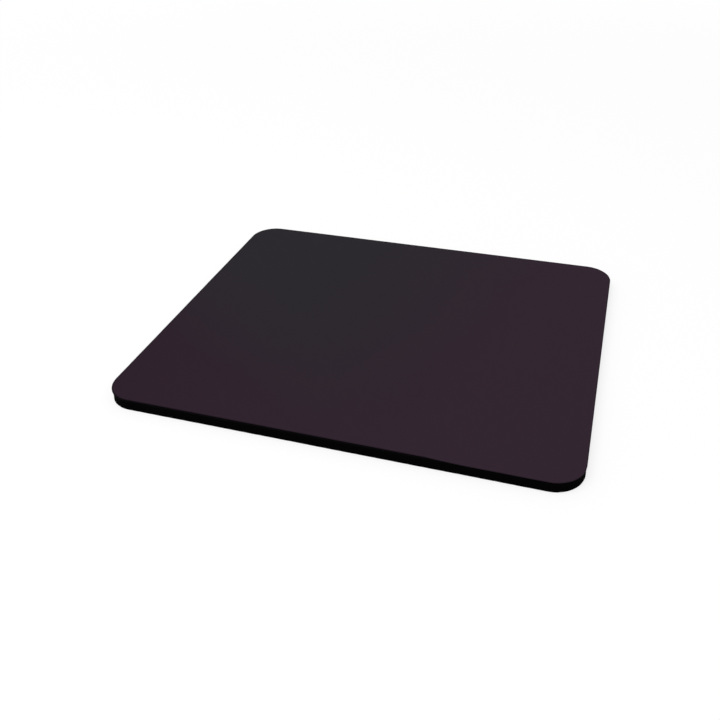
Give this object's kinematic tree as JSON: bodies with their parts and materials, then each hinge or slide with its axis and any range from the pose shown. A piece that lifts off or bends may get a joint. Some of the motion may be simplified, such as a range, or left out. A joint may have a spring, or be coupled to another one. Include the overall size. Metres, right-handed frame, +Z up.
{
  "type": "mouse pad",
  "caption": "Rectangular desk pad with rounded corners: a dark knitted cloth face bonded to a black foam rubber base with an embossed non-slip underside.",
  "frame": {"origin": "on the desk under the middle of the pad, at the centre of the bounding box's bottom", "axes": "+X along the long side to the right, +Y away from the user, +Z up through the cloth face"},
  "size_m": [0.235, 0.197, 0.006],
  "materials": {
    "foam_rubber": "matt black cellular foam rubber",
    "bond_film": "dark hot-melt film",
    "knit_cloth": "fine knitted polyester, dark charcoal drifting to plum"
  },
  "bodies": {
    "root": {"foam_base": "foam_rubber", "adhesive_film": "bond_film", "cloth_top": "knit_cloth"}
  },
  "joints": []
}
